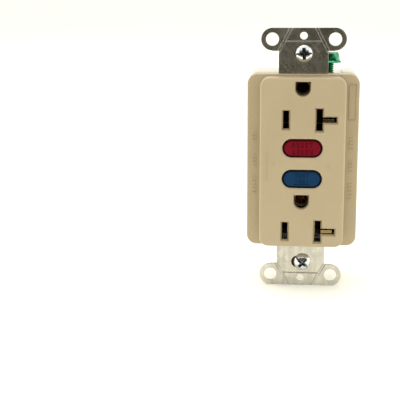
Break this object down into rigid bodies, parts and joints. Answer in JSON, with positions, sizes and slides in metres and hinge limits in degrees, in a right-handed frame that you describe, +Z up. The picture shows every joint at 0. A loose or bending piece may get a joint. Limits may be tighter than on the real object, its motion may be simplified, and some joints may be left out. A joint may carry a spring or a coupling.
{
  "type": "gfci outlet",
  "caption": "Ground-fault duplex receptacle with test and reset buttons, T-slot outlets, mounting strap, box screws and green ground screw.",
  "frame": {"origin": "centre of the mounting strap's rear face, midway between the two wall plate screw holes", "axes": "+X right as seen from the room, +Y into the wall, +Z up with the ground holes above their slots"},
  "size_m": [0.0434, 0.0364, 0.1028],
  "materials": {
    "ivory_nylon": "satin moulded nylon",
    "white_thermoset": "moulded thermoset",
    "dark_thermoset": "moulded thermoset",
    "white_plastic": "moulded",
    "red_plastic": "satin",
    "blue_plastic": "satin",
    "zinc_steel": "zinc plated",
    "zinc_screw": "zinc plated",
    "spring_steel": "drawn wire",
    "spring_brass": "rolled",
    "contact_brass": "stamped",
    "screw_brass": "brass plated",
    "green_steel": "green dyed zinc",
    "red_fibre": "vulcanised fibre",
    "enamelled_wire": "enamelled copper",
    "board_laminate": "solder mask",
    "black_epoxy": "moulded epoxy",
    "blue_epoxy": "dipped epoxy",
    "yellow_epoxy": "dipped epoxy",
    "tan_lacquer": "lacquer with colour bands"
  },
  "bodies": {
    "housing": {"assembly_screws": "zinc_screw", "capacitors": "yellow_epoxy", "circuit_board": "board_laminate", "contact_deck": "dark_thermoset", "contact_rivets": "contact_brass", "control_chip": "black_epoxy", "diodes": "black_epoxy", "front_cover": "ivory_nylon", "ground_fault_transformer": "enamelled_wire", "hot_contact_strip": "contact_brass", "line_conductors": "contact_brass", "line_hot_terminal": "contact_brass", "line_neutral_terminal": "contact_brass", "load_hot_terminal": "contact_brass", "load_neutral_terminal": "contact_brass", "lower_ground_contact": "contact_brass", "mounting_strap": "zinc_steel", "neutral_contact_strip": "contact_brass", "neutral_transformer": "enamelled_wire", "rear_housing": "white_thermoset", "resistors": "tan_lacquer", "solenoid_bobbin": "white_plastic", "solenoid_coil": "enamelled_wire", "solenoid_frame": "zinc_steel", "surge_varistor": "blue_epoxy", "test_contact": "spring_brass", "test_resistor": "tan_lacquer", "thyristor": "black_epoxy", "upper_ground_contact": "contact_brass"},
    "reset_button": {"reset_button": "red_plastic", "reset_pin": "zinc_steel", "reset_spring": "spring_steel"},
    "test_button": {"test_button": "blue_plastic", "test_spring": "spring_steel"},
    "test_blade": {"test_blade": "spring_brass"},
    "contact_carriage": {"contact_carriage": "white_plastic"},
    "hot_contact_arm": {"hot_contact_arm": "contact_brass"},
    "neutral_contact_arm": {"neutral_contact_arm": "contact_brass"},
    "latch_plate": {"latch_plate": "zinc_steel"},
    "solenoid_plunger": {"solenoid_plunger": "zinc_steel", "plunger_spring": "spring_steel"},
    "ground_screw": {"ground_screw": "green_steel"},
    "upper_screw_retainer": {"upper_screw_retainer": "red_fibre"},
    "lower_screw_retainer": {"lower_screw_retainer": "red_fibre"},
    "upper_mounting_screw": {"upper_mounting_screw": "zinc_screw"},
    "lower_mounting_screw": {"lower_mounting_screw": "zinc_screw"},
    "line_hot_screw": {"line_hot_screw": "screw_brass"},
    "line_hot_pressure_plate": {"line_hot_pressure_plate": "contact_brass"},
    "line_neutral_screw": {"line_neutral_screw": "zinc_screw"},
    "line_neutral_pressure_plate": {"line_neutral_pressure_plate": "zinc_steel"},
    "load_hot_screw": {"load_hot_screw": "screw_brass"},
    "load_hot_pressure_plate": {"load_hot_pressure_plate": "contact_brass"},
    "load_neutral_screw": {"load_neutral_screw": "zinc_screw"},
    "load_neutral_pressure_plate": {"load_neutral_pressure_plate": "zinc_steel"}
  },
  "joints": [
    {"name": "reset_press", "type": "slide", "parent": "housing", "child": "reset_button", "axis": [0, 1, 0], "range_m": [0, 0.0025], "stiffness_N_per_m": 600, "springref_m": -0.001},
    {"name": "test_press", "type": "slide", "parent": "housing", "child": "test_button", "axis": [0, 1, 0], "range_m": [0, 0.002], "stiffness_N_per_m": 600, "springref_m": -0.001},
    {"name": "test_blade_bend", "type": "hinge", "parent": "housing", "child": "test_blade", "pos_m": [-0.0055, 0.0126, -0.0129], "axis": [-1, 0, 0], "range_deg": [0, 18]},
    {"name": "carriage_trip", "type": "slide", "parent": "housing", "child": "contact_carriage", "axis": [0, 1, 0], "range_m": [0, 0.002], "stiffness_N_per_m": 300, "springref_m": -0.001},
    {"name": "hot_arm_swing", "type": "hinge", "parent": "housing", "child": "hot_contact_arm", "pos_m": [-0.003, 0.0143, 0.009], "axis": [1, 0, 0], "range_deg": [0, 15]},
    {"name": "neutral_arm_swing", "type": "hinge", "parent": "housing", "child": "neutral_contact_arm", "pos_m": [0.003, 0.0143, 0.009], "axis": [1, 0, 0], "range_deg": [0, 15]},
    {"name": "plunger_pull", "type": "slide", "parent": "housing", "child": "solenoid_plunger", "axis": [0, 0, -1], "range_m": [0, 0.0018], "stiffness_N_per_m": 300, "springref_m": -0.001},
    {"name": "latch_slide", "type": "slide", "parent": "contact_carriage", "child": "latch_plate", "axis": [0, 0, -1], "range_m": [0, 0.0018]},
    {"name": "ground_screw_drive", "type": "slide", "parent": "housing", "child": "ground_screw", "axis": [0, 0, -1], "range_m": [0, 0.0046]},
    {"name": "line_hot_clamp", "type": "slide", "parent": "housing", "child": "line_hot_pressure_plate", "axis": [-1, 0, 0], "range_m": [0, 0.00118]},
    {"name": "line_hot_screw_turn", "type": "hinge", "parent": "housing", "child": "line_hot_screw", "pos_m": [-0.018, 0.0135, 0.021], "axis": [1, 0, 0], "range_deg": [0, 540]},
    {"name": "line_neutral_clamp", "type": "slide", "parent": "housing", "child": "line_neutral_pressure_plate", "axis": [1, 0, 0], "range_m": [0, 0.00118]},
    {"name": "line_neutral_screw_turn", "type": "hinge", "parent": "housing", "child": "line_neutral_screw", "pos_m": [0.018, 0.0135, 0.021], "axis": [-1, 0, 0], "range_deg": [0, 540]},
    {"name": "load_hot_clamp", "type": "slide", "parent": "housing", "child": "load_hot_pressure_plate", "axis": [-1, 0, 0], "range_m": [0, 0.00118]},
    {"name": "load_hot_screw_turn", "type": "hinge", "parent": "housing", "child": "load_hot_screw", "pos_m": [-0.018, 0.0135, -0.021], "axis": [1, 0, 0], "range_deg": [0, 540]},
    {"name": "load_neutral_clamp", "type": "slide", "parent": "housing", "child": "load_neutral_pressure_plate", "axis": [1, 0, 0], "range_m": [0, 0.00118]},
    {"name": "load_neutral_screw_turn", "type": "hinge", "parent": "housing", "child": "load_neutral_screw", "pos_m": [0.018, 0.0135, -0.021], "axis": [-1, 0, 0], "range_deg": [0, 540]},
    {"name": "upper_retainer_shift", "type": "slide", "parent": "housing", "child": "upper_screw_retainer", "axis": [1, 0, 0], "range_m": [-0.0019, 0.0015]},
    {"name": "upper_mounting_screw_turn", "type": "hinge", "parent": "upper_screw_retainer", "child": "upper_mounting_screw", "pos_m": [0.0002, 0, 0.04165], "axis": [0, 1, 0], "continuous": true},
    {"name": "lower_retainer_shift", "type": "slide", "parent": "housing", "child": "lower_screw_retainer", "axis": [1, 0, 0], "range_m": [-0.0025, 0.0009]},
    {"name": "lower_mounting_screw_turn", "type": "hinge", "parent": "lower_screw_retainer", "child": "lower_mounting_screw", "pos_m": [0.0008, 0, -0.04165], "axis": [0, 1, 0], "continuous": true}
  ],
  "couplings": [
    {"joint": "test_blade_bend", "follows": "test_press", "rad_per_m": 153},
    {"joint": "hot_arm_swing", "follows": "carriage_trip", "rad_per_m": 130},
    {"joint": "neutral_arm_swing", "follows": "carriage_trip", "rad_per_m": 130},
    {"joint": "latch_slide", "follows": "plunger_pull", "ratio": 1},
    {"joint": "line_hot_screw_turn", "follows": "line_hot_clamp", "rad_per_m": 7915.8},
    {"joint": "line_neutral_screw_turn", "follows": "line_neutral_clamp", "rad_per_m": 7915.8},
    {"joint": "load_hot_screw_turn", "follows": "load_hot_clamp", "rad_per_m": 7915.8},
    {"joint": "load_neutral_screw_turn", "follows": "load_neutral_clamp", "rad_per_m": 7915.8}
  ]
}
